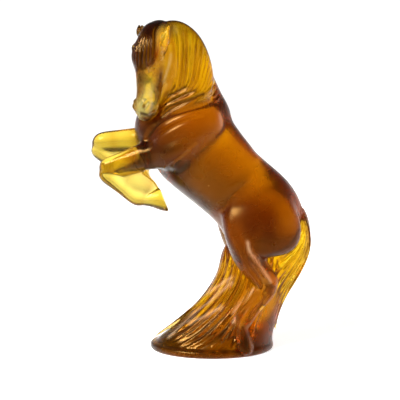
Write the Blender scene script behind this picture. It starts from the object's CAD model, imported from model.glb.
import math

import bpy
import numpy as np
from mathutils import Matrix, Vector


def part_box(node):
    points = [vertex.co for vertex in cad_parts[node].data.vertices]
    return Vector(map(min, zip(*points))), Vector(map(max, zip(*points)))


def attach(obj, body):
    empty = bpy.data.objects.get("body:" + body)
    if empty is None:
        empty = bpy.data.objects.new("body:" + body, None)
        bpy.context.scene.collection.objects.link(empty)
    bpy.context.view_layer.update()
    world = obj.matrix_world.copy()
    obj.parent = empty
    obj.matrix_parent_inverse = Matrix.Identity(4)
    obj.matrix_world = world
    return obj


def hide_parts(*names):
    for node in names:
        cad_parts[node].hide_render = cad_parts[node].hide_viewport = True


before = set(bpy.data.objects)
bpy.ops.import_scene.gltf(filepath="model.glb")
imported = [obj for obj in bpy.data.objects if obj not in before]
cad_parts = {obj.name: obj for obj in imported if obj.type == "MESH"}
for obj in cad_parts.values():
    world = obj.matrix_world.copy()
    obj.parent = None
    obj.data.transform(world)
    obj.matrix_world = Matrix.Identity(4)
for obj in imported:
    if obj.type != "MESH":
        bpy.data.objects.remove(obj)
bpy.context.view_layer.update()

# Rearing horse cast in amber crystal. The CAD forms are melted into one block of clay (a grid of signed
# distances), the carved detail is worked into it, and the block becomes one closed glass mesh that stands
# for every CAD node. Clay is in the frame's axes and in millimetres: the horse faces -X and its left side
# faces -Y. Blender's objects are in metres.

import openvdb
from mathutils import Vector
from mathutils.kdtree import KDTree

MM = 1000.0
TINY = 1e-6             # keeps divisors away from zero
LEFT, RIGHT = -1, 1
HANDS = {LEFT: "left_", RIGHT: "right_"}
LOW = np.min([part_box(n)[0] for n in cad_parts], axis=0) * MM
HIGH = np.max([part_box(n)[1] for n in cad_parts], axis=0) * MM

# ---- clay ----------------------------------------------------------------------------------------------
VOXEL = 0.75
BAND = 12.0             # distances are exact this near to the surface
MARGIN = 6              # empty voxels round the figure
RAY_REACH = 110.0
RAY_STEP = 0.6
BLUR_REACH = 2.5        # how far a blur looks, in sigmas

# how softly each CAD form melts into the clay that is there before it
MELT = {
    "base_plinth": 2, "plume": 2, "tail": 2, "torso": 0, "neck": 3, "shoulder": 5, "thigh": 4, "forearm": 4,
    "fore_cannon": 2.5, "hind_cannon": 2.5, "fore_hoof": 1, "hind_hoof": 1, "mane": 4, "head": 2.5, "ear": 1,
    "forelock": 1.2,
}


class Clay:
    """Signed distances on a grid, negative inside the glass."""

    def __init__(self):
        self.first = np.floor(LOW / VOXEL).astype(int) - MARGIN
        last = np.ceil(HIGH / VOXEL).astype(int) + MARGIN
        self.data = np.full(tuple(last - self.first + 1), BAND, np.float32)

    def whole(self):
        return tuple(slice(0, size) for size in self.data.shape)

    def window(self, low, high):
        """Slices of the grid between two corners."""
        start = np.maximum(np.floor(low / VOXEL).astype(int) - self.first, 0)
        stop = np.minimum(np.ceil(high / VOXEL).astype(int) - self.first + 1, self.data.shape)
        return tuple(slice(i, j) for i, j in zip(start, stop))

    def coordinates(self, part):
        """The x, y and z of a part's voxels, as arrays that spread over it."""
        axes = [
            ((np.arange(along.start, along.stop) + first) * VOXEL).astype(np.float32)
            for along, first in zip(part, self.first)
        ]
        return np.meshgrid(*axes, indexing="ij", sparse=True)

    def node(self, name):
        """Slices of a CAD node's surroundings, and the distances from its surface there."""
        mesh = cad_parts[name].data
        mesh.calc_loop_triangles()
        points = np.empty(len(mesh.vertices) * 3, np.float32)
        mesh.vertices.foreach_get("co", points)
        triangles = np.empty(len(mesh.loop_triangles) * 3, np.int32)
        mesh.loop_triangles.foreach_get("vertices", triangles)
        points = points.reshape(-1, 3) * MM
        grid = openvdb.FloatGrid.createLevelSetFromPolygons(
            points,
            triangles=triangles.reshape(-1, 3).astype(np.uint32),
            transform=openvdb.createLinearTransform(voxelSize=VOXEL),
            halfWidth=BAND / VOXEL,
        )
        part = self.window(points.min(0) - BAND, points.max(0) + BAND)
        values = np.empty(self.data[part].shape, np.float32)
        grid.copyToArray(values, ijk=tuple(int(along.start + i) for along, i in zip(part, self.first)))
        return part, values

    def join(self, part, values, blend):
        """Adds a form, melted in over a length."""
        self.data[part] = soft_min(self.data[part], values, blend)

    def join_node(self, name):
        kind = name.removeprefix("left_").removeprefix("right_")
        self.join(*self.node(name), MELT[kind])

    def carve(self, part, values, blend):
        """Takes a form away and softens the rim over a length."""
        self.data[part] = -soft_min(-self.data[part], values, blend)

    def blur(self, sigma):
        self.data = blurred(self.data, sigma)

    def sample(self, points):
        """Distances at points (n, 3), between voxels by straight lines."""
        place = points / VOXEL - self.first
        base = np.clip(np.floor(place).astype(int), 0, np.array(self.data.shape) - 2)
        share = np.clip(place - base, 0, 1)
        total = 0
        for corner in range(8):
            step = np.array([corner >> 2 & 1, corner >> 1 & 1, corner & 1])
            weight = np.prod(np.where(step, share, 1 - share), axis=-1)
            i, j, k = np.moveaxis(base + step, -1, 0)
            total = total + weight * self.data[i, j, k]
        return total

    def outward(self, points):
        """Unit normals of the surface near points."""
        steps = np.eye(3) * VOXEL
        slope = np.stack([self.sample(points + s) - self.sample(points - s) for s in steps], -1)
        return slope / np.maximum(np.linalg.norm(slope, axis=-1, keepdims=True), TINY)

    def skin(self, starts, way):
        """Where rays from starts along way first meet the surface, or pass it most closely."""
        way = np.asarray(way, float) / np.linalg.norm(way)
        travel = np.arange(0, RAY_REACH, RAY_STEP)
        values = self.sample(starts[:, None, :] + travel[None, :, None] * way)
        inside = values < 0
        hit = np.where(inside.any(1), inside.argmax(1), values.argmin(1))
        before = np.maximum(hit - 1, 0)
        rows = np.arange(len(starts))
        outer, inner = values[rows, before], values[rows, hit]
        back = np.where(inside.any(1) & (outer > inner), inner / np.minimum(inner - outer, -TINY), 0)
        return starts + (travel[hit] - np.clip(back, 0, 1) * RAY_STEP)[:, None] * way


def soft_min(a, b, blend):
    """The nearer of two distances, melted together over a length."""
    if blend <= 0:
        return np.minimum(a, b)
    overlap = np.maximum(blend - np.abs(a - b), 0)
    return np.minimum(a, b) - overlap * overlap / (4 * blend)


def blurred(data, sigma):
    """The distances averaged over a Gaussian of sigma millimetres, which melts seams and small steps."""
    reach = max(1, int(math.ceil(BLUR_REACH * sigma / VOXEL)))
    weights = np.exp(-0.5 * (np.arange(-reach, reach + 1) * VOXEL / sigma) ** 2)
    weights /= weights.sum()
    for axis in range(3):
        padded = np.pad(data, [(reach, reach) if a == axis else (0, 0) for a in range(3)], mode="edge")
        size = data.shape[axis]
        data = sum(
            np.float32(w) * padded[tuple(slice(k, k + size) if a == axis else slice(None) for a in range(3))]
            for k, w in enumerate(weights)
        )
    return data


def curve_through(points, count):
    """Points evenly along a Catmull-Rom curve."""
    points = np.array(points, float)
    ends = np.vstack([2 * points[0] - points[1], points, 2 * points[-1] - points[-2]])
    found = []
    for t in np.linspace(0, len(points) - 1 - TINY, count):
        i = int(t)
        f = t - i
        p0, p1, p2, p3 = ends[i:i + 4]
        bend = 2 * p0 - 5 * p1 + 4 * p2 - p3
        twist = 3 * p1 - p0 - 3 * p2 + p3
        found.append(0.5 * (2 * p1 + (p2 - p0) * f + bend * f ** 2 + twist * f ** 3))
    return np.array(found)


def rope(clay, centres, radii):
    """Slices and distances of a chain of rounded cones."""
    far = max(radii) + BAND / 2
    part = clay.window(centres.min(0) - far, centres.max(0) + far)
    values = np.full(clay.data[part].shape, BAND, np.float32)
    for a, b, ra, rb in zip(centres[:-1], centres[1:], radii[:-1], radii[1:]):
        span = b - a
        length = float(span @ span) or TINY
        inner = clay.window(np.minimum(a, b) - far, np.maximum(a, b) + far)
        local = tuple(slice(s.start - c.start, s.stop - c.start) for s, c in zip(inner, part))
        dx, dy, dz = (along - origin for along, origin in zip(clay.coordinates(inner), a))
        t = np.clip((dx * span[0] + dy * span[1] + dz * span[2]) / length, 0, 1)
        gap = np.sqrt((dx - t * span[0]) ** 2 + (dy - t * span[1]) ** 2 + (dz - t * span[2]) ** 2)
        values[local] = np.minimum(values[local], gap - (ra + (rb - ra) * t))
    return part, values


def egg(clay, centre, radii, axes):
    """Slices and distances of an ellipsoid whose radii lie along axes."""
    centre = np.array(centre, float)
    far = max(radii) + BAND / 2
    part = clay.window(centre - far, centre + far)
    dx, dy, dz = (along - origin for along, origin in zip(clay.coordinates(part), centre))
    near = 0
    steep = 0
    for radius, axis in zip(radii, axes):
        along = dx * axis[0] + dy * axis[1] + dz * axis[2]
        near = near + (along / radius) ** 2
        steep = steep + (along / radius ** 2) ** 2
    near = np.sqrt(near)
    return part, (near * (near - 1) / np.maximum(np.sqrt(steep), TINY)).astype(np.float32)


# ---- strokes -------------------------------------------------------------------------------------------
rng = np.random.default_rng(7)
STROKE_POINTS = 20
OUTSIDE = 90.0          # where rays towards a side start, in y
FULLNESS = 0.6          # how quickly a stroke swells from its ends; less is quicker
VARIETY = (0.7, 1.3)    # how far one ridge differs from another
DRIFT = 0.12            # share of the way across that a lock moves on the way down
PAST_EDGE = 1.02
LOCK_JITTER = 0.25      # share of the space between locks
LOCK_PROUD, PARTING_RADIUS, PARTING_DEPTH = 0.62, 0.45, 0.4     # shares of a lock's radius
LOCK_BLEND = 0.5

LOCKS = {"mane": [], "tail": [], "plume": [], "forelock": []}   # where hair was carved, for its finish


def swell(radius, start=0.35, end=0.35, count=STROKE_POINTS):
    """Radii of a stroke that is full in the middle and thinner at its ends."""
    t = np.linspace(0, 1, count)
    share = np.sin(math.pi * t) ** FULLNESS
    ends = start + (end - start) * t
    return radius * (ends + (1 - ends) * share)


def side_path(clay, points, side, sink):
    """A path through (x, z) points, laid on the horse's left or right side and sunk into it."""
    curve = curve_through(points, STROKE_POINTS)
    starts = np.column_stack([curve[:, 0], np.full(STROKE_POINTS, side * OUTSIDE), curve[:, 1]])
    found = clay.skin(starts, (0, -side, 0))
    found[1:-1] = (found[:-2] + 2 * found[1:-1] + found[2:]) / 4
    return found - clay.outward(found) * sink


def fan(inner, outer, shares):
    """Paths at shares of the way between two guide paths, drifting towards inner along their length."""
    a, b = curve_through(inner, STROKE_POINTS), curve_through(outer, STROKE_POINTS)
    t = np.linspace(0.5, -0.5, STROKE_POINTS)[:, None]
    return [a + (b - a) * np.clip(share + DRIFT * t, 0, PAST_EDGE) for share in shares]


def ridges(clay, paths, side, radius, proud, blend):
    """Raises ropes along side paths, all laid on the clay as it is before the first of them."""
    made = []
    for path in paths:
        r = radius * rng.uniform(*VARIETY)
        made.append((side_path(clay, path, side, r - proud * rng.uniform(*VARIETY)), swell(r)))
    for centres, radii in made:
        clay.join(*rope(clay, centres, radii), blend)


def grooves(clay, paths, side, radius, depth, blend):
    """Cuts channels along side paths."""
    made = [(side_path(clay, path, side, depth - radius), swell(radius, 0.15, 0.15)) for path in paths]
    for centres, radii in made:
        clay.carve(*rope(clay, centres, radii), blend)


def combed(clay, kind, inner, outer, shares, side, radius):
    """A sheet of hair between two guide paths: a lock along each share of the way, parted by channels."""
    gaps = (shares[:-1] + shares[1:]) / 2
    shares = shares + rng.uniform(-LOCK_JITTER, LOCK_JITTER, len(shares)) * (shares[1] - shares[0])
    LOCKS[kind] += [side_path(clay, path, side, 0) for path in fan(inner, outer, shares)]
    ridges(clay, fan(inner, outer, shares), side, radius, LOCK_PROUD * radius, LOCK_BLEND)
    partings = fan(inner, outer, gaps)
    grooves(clay, partings, side, PARTING_RADIUS * radius, PARTING_DEPTH * radius, LOCK_BLEND)


def sculpt(clay, side, strokes, shift=0):
    """Works a list of strokes into one side: (ridges or grooves, (x, z) points, radius, height, blend)."""
    for work, points, radius, height, blend in strokes:
        work(clay, [[(x + shift, z) for x, z in points]], side, radius, height, blend)


# ---- foot, plume and tail ------------------------------------------------------------------------------
PLUME_EDGE = [(9, 94), (6, 76), (-1, 59), (-13, 43), (-31, 26), (-52, 11)]
PLUME_FRONT = [(34, 92), (33, 70), (25, 50), (11, 31), (-6, 16), (-22, 8)]
PLUME_REAR = [(58, 98), (57, 76), (50, 54), (42, 30), (38, 8)]
TAIL_INNER = [(72, 138), (80, 122), (78, 110), (69, 101), (56, 96)]
TAIL_OUTER = [(76, 140), (86, 119), (89, 104), (88, 90), (82, 75), (74, 60), (66, 44), (61, 28), (59, 8)]
PLUME_LOCK, TAIL_LOCK = 2.6, 2.1        # radii


def foot_plume_and_tail():
    """The hair that holds the horse up, and the foot that it runs into."""
    hair = Clay()
    for name in ("base_plinth", "plume", "tail"):
        hair.join_node(name)
    hair.blur(1.2)
    for side in (LEFT, RIGHT):
        combed(hair, "plume", PLUME_EDGE, PLUME_FRONT, np.linspace(0.05, 0.95, 6), side, PLUME_LOCK)
        combed(hair, "plume", PLUME_FRONT, PLUME_REAR, np.linspace(0.12, 0.95, 5), side, PLUME_LOCK)
        combed(hair, "tail", TAIL_INNER, TAIL_OUTER, np.linspace(0.02, 0.97, 8), side, TAIL_LOCK)
    hair.blur(0.4)
    return hair


# ---- body and legs -------------------------------------------------------------------------------------
WITHERS = [(-5, 0, 236), (3.5, 0, 217), (12.5, 0, 199), (24, 0, 182.5)]
WITHERS_RADIUS = 9.0
HIND_STEP = {LEFT: 0, RIGHT: -5}        # the right hind leg stands this much further forward

# thin glass left in the fold of each foreleg, between forearm and cannon: its centre (x, z) and its form
FOLDS = {LEFT: (-69, 155.5), RIGHT: (-79, 171)}
FOLD_RADII = (23, 12, 5)
FOLD_AXES = ((0.915, 0, -0.403), (0.403, 0, 0.915), (0, 1, 0))

BODY_STROKES = [
    # shoulder blade and its spine, the triceps, and the top of the shoulder under the mane
    (ridges, [(-6, 213), (-17, 211), (-32, 205), (-48, 196)], 6, 1.5, 5),
    (ridges, [(-2, 206), (-16, 202), (-30, 197)], 6, 1.2, 5),
    (ridges, [(-14, 196), (-28, 187), (-42, 180)], 8, 1.5, 6),
    (ridges, [(-47, 211), (-38, 218), (-27, 223.5), (-15, 227), (-5, 227)], 9, 2.5, 7),
    # creases behind the elbow, in front of the shoulder and between belly and thigh
    (grooves, [(-20, 187), (-30, 178), (-37, 171), (-38, 166)], 2.5, 1.4, 3),
    (grooves, [(-44, 211), (-52, 203), (-57, 195), (-60, 188)], 3, 1.2, 4),
    (grooves, [(34, 158), (24, 151), (14, 141), (9, 130)], 3, 1.0, 4),
]
HIND_LEG_STROKES = [
    # muscle of the haunch
    (ridges, [(14, 124), (16, 110), (24, 96), (32, 84)], 5, 1.0, 5),
    # tendon of the gaskin, down to the point of the hock, and the hollows behind it and before it
    (ridges, [(33, 108), (35, 93), (44, 81), (52, 69), (57, 65)], 3.0, 2.2, 2),
    (grooves, [(40, 96), (46, 86), (56, 75)], 2.4, 2.0, 1.5),
    (grooves, [(27, 100), (31, 88), (38, 77), (44, 68), (44, 58)], 2.0, 1.4, 1.5),
    # cannon bone, and the channel between it and the tendon behind
    (ridges, [(40, 62), (34, 51), (25, 41), (21, 31)], 2.6, 1.6, 1.5),
    (grooves, [(52, 60), (45, 50), (37, 41), (32, 34)], 1.6, 1.4, 1.2),
]


def body_and_legs():
    """Trunk, neck and limbs down to the hooves, with their muscles, creases and tendons."""
    clay = Clay()
    clay.join_node("torso")
    clay.join_node("neck")
    for hand in HANDS.values():
        clay.join_node(hand + "shoulder")
        clay.join_node(hand + "thigh")
    spine = curve_through(WITHERS, STROKE_POINTS)
    clay.join(*rope(clay, spine, np.full(STROKE_POINTS, WITHERS_RADIUS)), 8)
    clay.blur(1.8)
    for hand in HANDS.values():
        clay.join_node(hand + "forearm")
        clay.join_node(hand + "fore_cannon")
        clay.join_node(hand + "hind_cannon")
    clay.blur(1.0)
    for side, (x, z) in FOLDS.items():
        cannon = np.array(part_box(HANDS[side] + "fore_cannon")) * MM
        clay.join(*egg(clay, (x, cannon[:, 1].mean(), z), FOLD_RADII, FOLD_AXES), 5)
    for side in (LEFT, RIGHT):
        sculpt(clay, side, BODY_STROKES)
        sculpt(clay, side, HIND_LEG_STROKES, HIND_STEP[side])
    return clay


# ---- hooves and mane -----------------------------------------------------------------------------------
# the lower edge of the mane, above the top of the shoulder
FRINGE_EDGE = [
    (-60, 205), (-46, 213), (-41, 218.5), (-33, 222.5), (-26, 225), (-20, 227), (-11, 229), (-5, 230),
    (2, 228), (12, 214),
]
FRINGE_SLOPE = 0.8

# rows across the mane, from the crest down to the fringe; a lock passes through one point of each
MANE_ROWS = (
    [(-31, 293), (-20, 289), (-11, 282), (-5, 271.5), (-2, 261), (1, 250.5), (4, 241), (7, 233)],
    [(-29, 275), (-20, 271), (-13, 264), (-8, 255.5), (-5, 248), (-3, 241), (0, 235), (3, 229)],
    [(-31, 243), (-24, 243), (-18, 242), (-13, 240), (-10, 238), (-7, 236), (-4, 234), (-1, 231)],
    [(-47, 215), (-42, 219), (-36, 222), (-30, 224.5), (-24, 226.5), (-18, 228), (-12, 229), (-6, 229)],
)
MANE_FINISHED, MANE_LOCKS = 8, 12       # how many locks carry the finish, and how many are carved
CREST = [
    (-46, -11, 289), (-36, -9, 290.5), (-27.5, -8, 287.5), (-19, -6, 281), (-12.5, -4, 269), (-8.5, -2, 253),
    (-4, 0, 236),
]
CREST_RADII = (7.5, 8.5)

# channels between the ends of the mane, swept forward over the top of the shoulder
FRINGE_LOCKS = [
    [(-24, 241), (-32, 237), (-39, 233)],
    [(-16, 238), (-28, 233), (-41, 226)],
    [(-8, 235.6), (-22, 229.5), (-36, 225), (-44, 219)],
    [(-14, 232), (-26, 227), (-37, 221.5), (-45, 215)],
]


def fringe_height(x):
    """Height of the mane's lower edge at x."""
    return np.interp(x, *zip(*FRINGE_EDGE))


def mane_paths(count, offset):
    """Locks that fall from the crest and sweep forward to the fringe, or the gaps between them."""
    rows = [curve_through(row, 2 * count + 1)[offset::2] for row in MANE_ROWS]
    return [list(path) for path in zip(*rows)]


def add_hooves_and_mane(clay):
    """The hooves, the mane cut to its fringe, the crest that joins its two sides, and its locks."""
    for hand in HANDS.values():
        clay.join_node(hand + "fore_hoof")
        clay.join_node(hand + "hind_hoof")
        part, distances = clay.node(hand + "mane")
        x, _, z = clay.coordinates(part)
        below = (fringe_height(x) - z) * FRINGE_SLOPE
        clay.join(part, np.maximum(distances, below).astype(np.float32), MELT["mane"])
    clay.blur(0.7)
    crest = curve_through(CREST, STROKE_POINTS)
    clay.join(*rope(clay, crest, np.linspace(*CREST_RADII, STROKE_POINTS)), 4)
    for side in (LEFT, RIGHT):
        LOCKS["mane"] += [side_path(clay, path, side, 0) for path in mane_paths(MANE_FINISHED, 0)]
        ridges(clay, mane_paths(MANE_LOCKS, 0), side, 2.2, 1.1, 0.8)
        grooves(clay, mane_paths(MANE_LOCKS, 1), side, 1.1, 0.7, 0.8)
        grooves(clay, FRINGE_LOCKS, side, 1.7, 1.5, 0.8)


# ---- head ----------------------------------------------------------------------------------------------
FACE = np.array([-0.545, -0.839, 0.0])      # the way the face looks
CHEEK = np.array([0.839, -0.545, 0.0])      # towards the head's own left
UPWARD = np.array([0.0, 0.0, 1.0])
HEAD_AXES = (FACE, CHEEK, UPWARD)
BROW_POINT = np.array([-53.0, -18.0, 268.0])
HEAD_SLOPE = np.array([7.0, 8.0, 51.0]) / 51.0
IN_FRONT = 60                               # where rays towards the face start


def on_head(forward, aside, height):
    """A place by its distances from the head's sloping axis, and its height."""
    return BROW_POINT + HEAD_SLOPE * (height - BROW_POINT[2]) + FACE * forward + CHEEK * aside


def head_egg(clay, place, radii):
    return egg(clay, on_head(*place), radii, HEAD_AXES)


def head_rope(clay, places, radii):
    curve = curve_through(places, len(radii))
    return rope(clay, np.array([on_head(*c) for c in curve]), radii)


def shape_half_face(clay, aside):
    """One side of the face; aside is 1 for the head's own left and -1 for its right."""
    # hollow beside the bridge of the nose, jowl and brow
    clay.carve(*head_egg(clay, (11, aside * 11, 249), (4, 3.6, 11)), 3)
    clay.join(*head_egg(clay, (-5, aside * 10.5, 259), (12.5, 5.5, 13)), 2)
    brow = [(13, aside * 8, 274), (9, aside * 14, 276), (2, aside * 16.5, 274)]
    clay.join(*head_rope(clay, brow, swell(2.4, count=8)), 2)
    # socket, eye and lower lid
    clay.carve(*head_egg(clay, (8.5, aside * 16.5, 270), (4.4, 3, 3.2)), 1.2)
    clay.join(*head_egg(clay, (6.6, aside * 14.6, 270.4), (3.2, 2.4, 2.5)), 0.5)
    lid = [(10.5, aside * 13, 267.5), (7, aside * 15.6, 266.6), (3, aside * 16, 268)]
    clay.join(*head_rope(clay, lid, swell(1.1, count=8)), 1)
    # nostril: a flared rim round a comma-shaped hollow, and the line of the mouth under it
    clay.carve(*head_egg(clay, (4, aside * 10.5, 233), (7, 2.2, 5)), 2.5)
    clay.join(*head_egg(clay, (7.4, aside * 5.0, 226), (3.4, 3.6, 5)), 2)
    nostril = [(10, aside * 5.2, 224), (9.6, aside * 7.2, 227), (7.4, aside * 8, 229.5)]
    clay.carve(*head_rope(clay, nostril, (1.1, 1.6, 0.7)), 0.6)
    mouth = [(10, aside * 2, 216.5), (8, aside * 6, 217.5), (3, aside * 9, 220), (-3, aside * 9.6, 222.5)]
    clay.carve(*head_rope(clay, mouth, swell(1.0, count=10)), 0.7)


def add_head(clay):
    """Skull, ears, nose, both sides of the face and the chin."""
    clay.join_node("head")
    for hand in HANDS.values():
        clay.join_node(hand + "ear")
    clay.blur(0.6)
    nose = [(14, 0, 270), (12, 0, 255), (8.5, 0, 240), (7.5, 0, 230)]
    clay.join(*head_rope(clay, nose, np.linspace(6, 4, 10)), 3)
    for aside in (1, -1):
        shape_half_face(clay, aside)
    # chin, and the far cheek cut slimmer
    clay.join(*head_egg(clay, (-1.5, 0, 215.5), (5.5, 6, 4)), 2)
    clay.carve(*head_egg(clay, (6, -17.5, 247), (9, 6.5, 13)), 3)


# ---- forelock and ears ---------------------------------------------------------------------------------
FORELOCK_COUNT = 8
LEAF = np.array([2.4, 3.2, 3.8, 4.2, 4.2, 3.9, 3.3, 2.5, 1.6, 0.8])     # radii of an ear, up from its root
EARS = {
    LEFT: [(-43.5, -31.5, 270), (-42, -34, 278), (-39.8, -35, 286), (-37.5, -33.5, 294)],
    RIGHT: [(-58, -13, 281), (-61.5, -12, 286), (-64, -11.5, 290), (-64.5, -11, 295)],
}


def face_path(clay, points, sink):
    """A path through (aside, height) points, laid on the front of the head and sunk into it."""
    curve = curve_through(points, STROKE_POINTS)
    starts = np.array([on_head(IN_FRONT, aside, height) for aside, height in curve])
    found = clay.skin(starts, -FACE)
    return found - clay.outward(found) * sink


def forelock_path(share, start, tip, gather):
    """Points (aside, height) of a lock at a share of the way across: 13 wide at the crown, 25 at the brow."""
    top, end = -6 + 13 * share, -13 + 25 * share
    return [(top, start), (top * 1.1, 289), ((top + end) / 2 * 1.15, 280), (end, 271), (end * gather, tip)]


def add_forelock(clay):
    """Locks over the forehead, and then the partings halfway between them."""
    clay.join_node("forelock")
    locks = []
    for share in np.linspace(0, 1, FORELOCK_COUNT):
        tip = 263 - 5 * math.sin(math.pi * share) + rng.uniform(-2, 2)
        locks.append((face_path(clay, forelock_path(share, 297, tip, 0.95), 0.6), swell(2.0, 0.5, 0.2)))
    for centres, radii in locks:
        LOCKS["forelock"].append(centres)
        clay.join(*rope(clay, centres, radii), 0.6)
    partings = []
    for share in np.linspace(1 / 14, 13 / 14, FORELOCK_COUNT - 1):
        partings.append((face_path(clay, forelock_path(share, 296, 260, 0.98), -0.2), swell(0.9, 0.3, 0.6)))
    for centres, radii in partings:
        clay.carve(*rope(clay, centres, radii), 0.5)


def add_ears(clay):
    """A leaf on each side, hollow towards the front."""
    inside = slice(2, 9)        # the stations of the leaf that are hollow
    for side, spine in EARS.items():
        spine = curve_through(spine, len(LEAF))
        clay.join(*rope(clay, spine, LEAF), 1.0)
        hollow = spine[inside] + FACE * 3.4 - CHEEK * side
        clay.carve(*rope(clay, hollow, LEAF[inside] * 0.5), 1.0)


hair = foot_plume_and_tail()
clay = body_and_legs()
add_hooves_and_mane(clay)
add_head(clay)
add_forelock(clay)
add_ears(clay)
clay.blur(0.4)
clay.join(clay.whole(), hair.data, 1.2)

# ---- where each tint of the glass lies -----------------------------------------------------------------


def both_sides(*points):
    """Points (x, half width, z) on the horse's left and on its right."""
    return np.array([(x, side * y, z) for side in (LEFT, RIGHT) for x, y, z in points], float)


# regions, as points in the frame: thin and pale glass first, then deep and dark glass
CLEAR = [
    both_sides((-100, 20, 165), (-85, 20, 155), (-70, 20, 150), (-50, 20, 140)),
    both_sides((-85, 20, 172), (-100, 20, 185), (-80, 20, 188)),
]
FACE_GOLD = [
    np.array([on_head(8, aside, height) for height in (250, 242, 234, 226, 218) for aside in (-6, 0, 6)]),
    np.array([on_head(forward, aside, height) for forward, aside, height in (
        (7, 10, 256), (7, 10, 248), (6, 10, 240), (0, 14, 262), (0, 14, 254), (1, 13, 246), (2, 12, 238),
        (3, 10, 230), (0, -14, 254), (1, -13, 246), (3, -10, 230),
    )]),
    both_sides((-42, 34, 280), (-40, 35, 286), (-38, 34, 292)),
]
FACE_PALE = [np.array([on_head(8, aside, height) for height in (236, 228, 220) for aside in (-4, 3, 9)])]
SUNLIT = [both_sides((68, 14, 122), (60, 22, 116), (8, 8, 206), (2, 14, 196))]
SMOKY = [
    both_sides((-52, 20, 200), (-47, 26, 188), (-42, 28, 176), (-30, 25, 168)),
    both_sides((20, 20, 130), (35, 34, 118), (48, 34, 112), (22, 24, 108)),
    both_sides((10, 10, 150), (0, 10, 160), (45, 10, 4), (30, 30, 6), (0, 30, 4), (50, 0, 20)),
]
CROWN = [(-56, 0, 298), (-42.6, 0, 300), (-29, 0, 300), (-18.2, 0, 295), (-8.2, 0, 287), (-1.9, 0, 277)]
CROWN_HALF_WIDTH = 14

# lines, as (x, z) points laid on both sides, or on the near side only where they belong to the face
DARK_LINES = FRINGE_LOCKS + [
    # under the haunch, behind the gaskin and behind the hind pastern
    [(77, 115), (69, 103), (56, 96), (49, 93)],
    [(42, 90), (49, 82), (58, 74)],
    [(27, 28), (30, 20), (31, 12)],
]
FACE_DARK = [
    [(-44.8, 253), (-45.4, 249)],
    [(-62, 219), (-55, 217), (-49, 217.5)],
    [(-59.6, 226), (-59.6, 224.5)],
    [(-41.5, 271), (-41.5, 269)],
]
SHADE_LINES = [
    # the edges of the tail, beside the haunch and behind
    [(79, 121), (77, 110), (72, 101), (60, 95.5), (47, 92)],
    [(81, 124), (86, 113), (87.5, 101), (85, 88)],
]
FACE_SHADE = [
    # the front of the nose, the jaw and the chin
    [(-63, 252), (-63.5, 243), (-65, 236), (-68, 229.5), (-69, 222), (-66, 216)],
    [(-45, 256), (-45.5, 247), (-47, 240)],
    [(-60, 214), (-52, 213), (-47, 217)],
]
LIGHT_LINES = [
    # behind the hind foot, and over the crease of the elbow
    [(35, 27), (37, 15)],
    [(-41, 172), (-29, 180), (-14.5, 193)],
]
FACE_LIGHT = [
    [(-41, 243.5), (-44.6, 234), (-50, 219)],
    [(-53.4, 236.5), (-53.4, 226), (-54.3, 218)],
    [(-37.5, 280), (-36.6, 269), (-39.3, 256), (-42.8, 245)],
    [(-44.6, 275), (-43.4, 266)],
]
GLEAM_LINES = [
    # tendon of the gaskin and cannon bone, and three ridges of the plume
    [(31, 106), (33, 98), (42, 85.5), (52, 70)],
    [(37, 60), (29, 50), (21, 40), (20, 31)],
    [(17.5, 69.5), (-11, 48), (-48, 20)],
    [(17.5, 65), (-8, 42), (-39, 14)],
    [(8.5, 43.5), (-20, 27)],
]

RELIEF_SIGMA, RELIEF_GAIN = 2.2, 0.7
FRINGE_FADE = 2.5       # the mane's finish comes in over this height above the fringe
STRAND_REACH = 2.0      # a fine hair has no tone beyond 1.4 of this
STRAND_CORE = 1.4
DENSITY = 8             # points that a painted path has for each of its own


def tree_of(paths):
    tree = KDTree(sum(len(path) for path in paths))
    for index, place in enumerate(np.vstack(paths)):
        tree.insert(place, index)
    tree.balance()
    return tree


def nearness(points, paths, near, far, power=1.0):
    """1 at points within near of any path, falling to 0 at far."""
    tree = tree_of(paths)
    distance = np.array([tree.find(p)[2] for p in points])
    return np.clip((far - distance) / (far - near), 0, 1) ** power


def dense(path):
    """A path with points so close together that nearness sees a line."""
    return curve_through(path, DENSITY * len(path))


def thick(paths):
    return [dense(path) for path in paths]


def laid(lines, sides=(LEFT, RIGHT)):
    """Lines of (x, z) points, laid on the surface."""
    return [dense(side_path(clay, line, side, 0)) for side in sides for line in lines]


def strands(paths):
    """Fine hairs along side paths, each with its own tone from -1, dark, to 1, light."""
    return [
        (dense(side_path(clay, path, side, 0)), rng.uniform(-1, 1))
        for side in (LEFT, RIGHT) for path in paths
    ]


def toned(points, hairs, reach):
    """0.5 away from hairs, and up to 0 or 1 along their middles."""
    tree = tree_of([path for path, _ in hairs])
    tones = np.concatenate([np.full(len(path), tone) for path, tone in hairs])
    found = [tree.find(p) for p in points]
    nearest = np.array([f[1] for f in found])
    distance = np.array([f[2] for f in found])
    return 0.5 + 0.5 * tones[nearest] * np.clip(STRAND_CORE - distance / reach, 0, 1)


def paint(mesh, name, values):
    layer = mesh.attributes.new(name, "FLOAT", "POINT")
    layer.data.foreach_set("value", np.asarray(values, np.float32))


def paint_relief(mesh, points, solid):
    """0 in a hollow and 1 on a ridge."""
    soft = Clay()
    soft.data = blurred(solid, RELIEF_SIGMA)
    paint(mesh, "relief", np.clip(0.5 + soft.sample(points) * RELIEF_GAIN, 0, 1))


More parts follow.
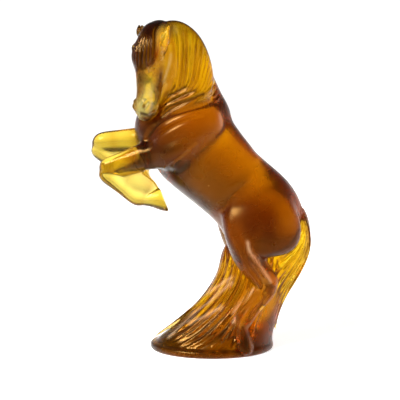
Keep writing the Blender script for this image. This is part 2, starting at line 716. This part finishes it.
def paint_tints(mesh, points):
    """How much each point belongs to each region, to each line and to the fine hairs."""
    above_fringe = np.clip((points[:, 2] - fringe_height(points[:, 0])) / FRINGE_FADE, 0, 1)
    paint(mesh, "mane", nearness(points, thick(LOCKS["mane"]), 2.0, 5.0) * above_fringe)
    crown = [dense(np.array(CROWN) + (0, side * CROWN_HALF_WIDTH, 0)) for side in (-1, 0, 1)]
    near_side = (LEFT,)
    for name, paths, reach in (
        ("polish", thick(LOCKS["tail"] + LOCKS["plume"]), (2.0, 5.0)),
        ("forelock", thick(LOCKS["forelock"]), (2.6, 4.6)),
        ("clear", CLEAR, (8.0, 20.0)),
        ("gold", FACE_GOLD, (3.0, 13.0)),
        ("smoky", SMOKY, (6.0, 34.0)),
        ("crown", crown, (7.0, 19.0)),
        ("sunlit", SUNLIT, (3.0, 18.0)),
        ("dark", laid(DARK_LINES) + laid(FACE_DARK, near_side), (0.4, 2.4)),
        ("pale", FACE_PALE, (3.0, 12.0)),
        ("shade", laid(SHADE_LINES) + laid(FACE_SHADE, near_side), (0.5, 6.5)),
        ("gleam", laid(GLEAM_LINES), (0.0, 4.0, 1.5)),
        ("light", laid(LIGHT_LINES) + laid(FACE_LIGHT, near_side), (0.5, 2.6)),
    ):
        paint(mesh, name, nearness(points, paths, *reach))
    tail = fan(TAIL_INNER, TAIL_OUTER, np.linspace(0, 1, 20))
    plume_front = fan(PLUME_EDGE, PLUME_FRONT, np.linspace(0, 1, 16))
    plume_rear = fan(PLUME_FRONT, PLUME_REAR, np.linspace(0, 1, 14))
    hairs = strands(mane_paths(30, 0) + tail + plume_front + plume_rear)
    paint(mesh, "hair", toned(points, hairs, STRAND_REACH))


# ---- glass mesh ----------------------------------------------------------------------------------------


def glass_mesh(name):
    """The clay's surface, cut flat at the floor, as one closed painted mesh."""
    _, _, z = clay.coordinates(clay.whole())
    solid = np.maximum(clay.data, -z)
    grid = openvdb.FloatGrid(BAND)
    grid.copyFromArray(solid, ijk=tuple(int(i) for i in clay.first))
    grid.transform = openvdb.createLinearTransform(voxelSize=VOXEL)
    points, triangles, quads = grid.convertToPolygons(isovalue=0.0, adaptivity=0.0)
    faces = [tuple(int(i) for i in corners) for group in (quads, triangles) for corners in group]
    mesh = bpy.data.meshes.new(name)
    mesh.from_pydata((points / MM).tolist(), [], faces)
    mesh.validate()
    mesh.shade_smooth()
    paint_relief(mesh, points, solid)
    paint_tints(mesh, points)
    if sum(face.area * face.normal.dot(face.center) for face in mesh.polygons) < 0:
        mesh.flip_normals()
    return mesh


# ---- amber glass ---------------------------------------------------------------------------------------
GLASS_IOR = 1.52
GLASS_TRANSMISSION = 1.0
HIGHLIGHT_TINT = (0.34, 0.18, 0.04)
DEPTH_TINT, DEPTH_DENSITY = (0.915, 0.815, 0.0), 150.0
CLOUD_SCALE = 40.0

# ramps: (position, colour) stops
BODY_AMBER = ((0.3, (0.56, 0.34, 0.11)), (0.7, (0.64, 0.41, 0.15)))
BODY_SATIN = ((0.3, (0.23, 0.23, 0.23)), (0.7, (0.30, 0.30, 0.30)))
RELIEF_SHADE = ((0.12, (0.50, 0.36, 0.15)), (0.48, (1.0, 1.0, 1.0)))
HAIR_AMBER = ((0.05, (0.42, 0.24, 0.06)), (0.5, (0.92, 0.76, 0.36)), (0.95, (1.0, 1.0, 0.80)))
FORELOCK_BROWN = ((0.40, (0.002, 0.0008, 0.0002)), (0.85, (0.05, 0.02, 0.002)))
FACE_CLARITY = ((0.0, (1.0, 1.0, 1.0)), (1.0, (0.86, 0.86, 0.86)))   # share of light that goes through

SMOKY_TINT = (0.13, 0.04, 0.006)
SUNLIT_TINT = (1.0, 0.80, 0.30)
CLEAR_TINT = (0.80, 0.72, 0.46)
GOLD_TINT = (0.95, 0.66, 0.04)
PALE_TINT = (1.0, 0.90, 0.25)
SHADE_TINT = (0.30, 0.17, 0.03)
CROWN_TINT = (0.03, 0.016, 0.002)
DARK_TINT = (0.08, 0.035, 0.006)
LIGHT_TINT = (1.0, 0.92, 0.60)
GLEAM_TINT = (0.90, 0.58, 0.34)
ROUGHNESS = {"mane": 0.24, "clear": 0.14, "gold": 0.26, "forelock": 0.16, "polish": 0.15}
GLEAM_CLARITY = 0.84


def grey(value):
    return (value, value, value)


def amber_glass():
    material = bpy.data.materials.new("amber_crystal")
    material.use_nodes = True
    nodes, links = material.node_tree.nodes, material.node_tree.links
    nodes.clear()

    def attribute(name):
        node = nodes.new("ShaderNodeAttribute")
        node.attribute_name = name
        return node.outputs["Fac"]

    def ramp(source, stops):
        node = nodes.new("ShaderNodeValToRGB")
        while len(node.color_ramp.elements) < len(stops):
            node.color_ramp.elements.new(0.5)
        for element, (position, colour) in zip(node.color_ramp.elements, stops):
            element.position = position
            element.color = (*colour, 1)
        links.new(source, node.inputs["Fac"])
        return node.outputs["Color"]

    def mixed(share, under, over, how="MIX"):
        node = nodes.new("ShaderNodeMix")
        node.data_type = "RGBA"
        node.blend_type = how
        for value, socket in zip((share, under, over), (node.inputs[n] for n in ("Factor", "A", "B"))):
            if isinstance(value, bpy.types.NodeSocket):
                links.new(value, socket)
            else:
                socket.default_value = (*value, 1) if isinstance(value, tuple) else value
        return node.outputs["Result"]

    def layered(under, *layers):
        """Lays (attribute name, colour) over what is under them, in order."""
        for name, over in layers:
            under = mixed(attribute(name), under, over)
        return under

    cloud = nodes.new("ShaderNodeTexNoise")
    cloud.inputs["Scale"].default_value = CLOUD_SCALE
    links.new(nodes.new("ShaderNodeTexCoord").outputs["Object"], cloud.inputs["Vector"])
    hair_amber = ramp(attribute("hair"), HAIR_AMBER)
    forelock_brown = ramp(attribute("relief"), FORELOCK_BROWN)

    tint = layered(
        ramp(cloud.outputs["Fac"], BODY_AMBER),
        ("smoky", SMOKY_TINT), ("sunlit", SUNLIT_TINT), ("polish", hair_amber), ("mane", hair_amber),
    )
    tint = mixed(1.0, tint, ramp(attribute("relief"), RELIEF_SHADE), "MULTIPLY")
    tint = layered(
        tint,
        ("clear", CLEAR_TINT), ("gold", GOLD_TINT), ("pale", PALE_TINT), ("shade", SHADE_TINT),
        ("crown", CROWN_TINT), ("forelock", forelock_brown), ("dark", DARK_TINT), ("light", LIGHT_TINT),
        ("gleam", GLEAM_TINT),
    )
    satin = layered(
        ramp(cloud.outputs["Fac"], BODY_SATIN), *((name, grey(value)) for name, value in ROUGHNESS.items())
    )
    clarity = layered(ramp(attribute("gold"), FACE_CLARITY), ("gleam", grey(GLEAM_CLARITY)))

    skin = nodes.new("ShaderNodeBsdfPrincipled")
    skin.inputs["Transmission Weight"].default_value = GLASS_TRANSMISSION
    skin.inputs["IOR"].default_value = GLASS_IOR
    skin.inputs["Specular Tint"].default_value = (*HIGHLIGHT_TINT, 1)
    links.new(tint, skin.inputs["Base Color"])
    links.new(satin, skin.inputs["Roughness"])
    links.new(clarity, skin.inputs["Transmission Weight"])
    depth = nodes.new("ShaderNodeVolumeAbsorption")
    depth.inputs["Color"].default_value = (*DEPTH_TINT, 1)
    depth.inputs["Density"].default_value = DEPTH_DENSITY
    out = nodes.new("ShaderNodeOutputMaterial")
    links.new(skin.outputs["BSDF"], out.inputs["Surface"])
    links.new(depth.outputs["Volume"], out.inputs["Volume"])
    return material


horse = bpy.data.objects.new("amber_crystal_horse", glass_mesh("amber_crystal_horse"))
bpy.context.scene.collection.objects.link(horse)
horse.data.materials.append(amber_glass())
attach(horse, "root")
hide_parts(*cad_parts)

# ---- studio --------------------------------------------------------------------------------------------
FLOOR_SIZE = 8.0
FLOOR_WHITE, FLOOR_ROUGHNESS, FLOOR_GLOW = 0.86, 0.6, 0.8
SKY_STOPS = ((0.16, 1.1), (0.50, 0.10))     # brightness by height, from the horizon up
KEY_PLACE, KEY_AIM, KEY_SIZE, KEY_WATTS = (-0.9, -0.9, 1.2), (0, 0, 0.15), 0.6, 75
CAMERA_TARGET = (-0.01093, 0.0, 0.138)
CAMERA_DISTANCE = 1.0
CAMERA_RISE = math.radians(8)
CAMERA_LENS, CAMERA_SENSOR = 98.82, 36


def floor_material():
    material = bpy.data.materials.new("floor_white")
    material.use_nodes = True
    shader = material.node_tree.nodes["Principled BSDF"]
    shader.inputs["Base Color"].default_value = (*grey(FLOOR_WHITE), 1)
    shader.inputs["Roughness"].default_value = FLOOR_ROUGHNESS
    shader.inputs["Emission Color"].default_value = (1, 1, 1, 1)
    shader.inputs["Emission Strength"].default_value = FLOOR_GLOW
    return material


def light_sky():
    """A world that is white at the horizon and dim overhead."""
    world = bpy.data.worlds.new("studio")
    bpy.context.scene.world = world
    world.use_nodes = True
    nodes, links = world.node_tree.nodes, world.node_tree.links
    height = nodes.new("ShaderNodeSeparateXYZ")
    sky = nodes.new("ShaderNodeValToRGB")
    sky.color_ramp.interpolation = "EASE"
    for element, (position, brightness) in zip(sky.color_ramp.elements, SKY_STOPS):
        element.position = position
        element.color = (*grey(brightness), 1)
    links.new(nodes.new("ShaderNodeTexCoord").outputs["Generated"], height.inputs["Vector"])
    links.new(height.outputs["Z"], sky.inputs["Fac"])
    links.new(sky.outputs["Color"], nodes["Background"].inputs["Color"])


def soft_box(name, place, aim, size, watts):
    light = bpy.data.lights.new(name, "AREA")
    light.shape = "RECTANGLE"
    light.size = size
    light.size_y = size
    light.energy = watts
    lamp = bpy.data.objects.new(name, light)
    bpy.context.scene.collection.objects.link(lamp)
    lamp.location = place
    way = np.array(aim) - np.array(place)
    lamp.rotation_euler = Vector(way).to_track_quat("-Z", "Y").to_euler()


def photo_camera():
    data = bpy.data.cameras.new("camera")
    data.lens = CAMERA_LENS
    data.sensor_width = CAMERA_SENSOR
    camera = bpy.data.objects.new("camera", data)
    bpy.context.scene.collection.objects.link(camera)
    camera.location = (
        CAMERA_TARGET[0],
        CAMERA_TARGET[1] - CAMERA_DISTANCE * math.cos(CAMERA_RISE),
        CAMERA_TARGET[2] + CAMERA_DISTANCE * math.sin(CAMERA_RISE),
    )
    camera.rotation_euler = (math.radians(90) - CAMERA_RISE, 0, 0)
    return camera


bpy.ops.mesh.primitive_plane_add(size=FLOOR_SIZE, location=(0, 0, 0))
floor = bpy.context.object
floor.name = "floor"
floor.data.materials.append(floor_material())

light_sky()
soft_box("key", KEY_PLACE, KEY_AIM, KEY_SIZE, KEY_WATTS)
bpy.context.scene.camera = photo_camera()
bpy.context.scene.view_settings.view_transform = "Standard"
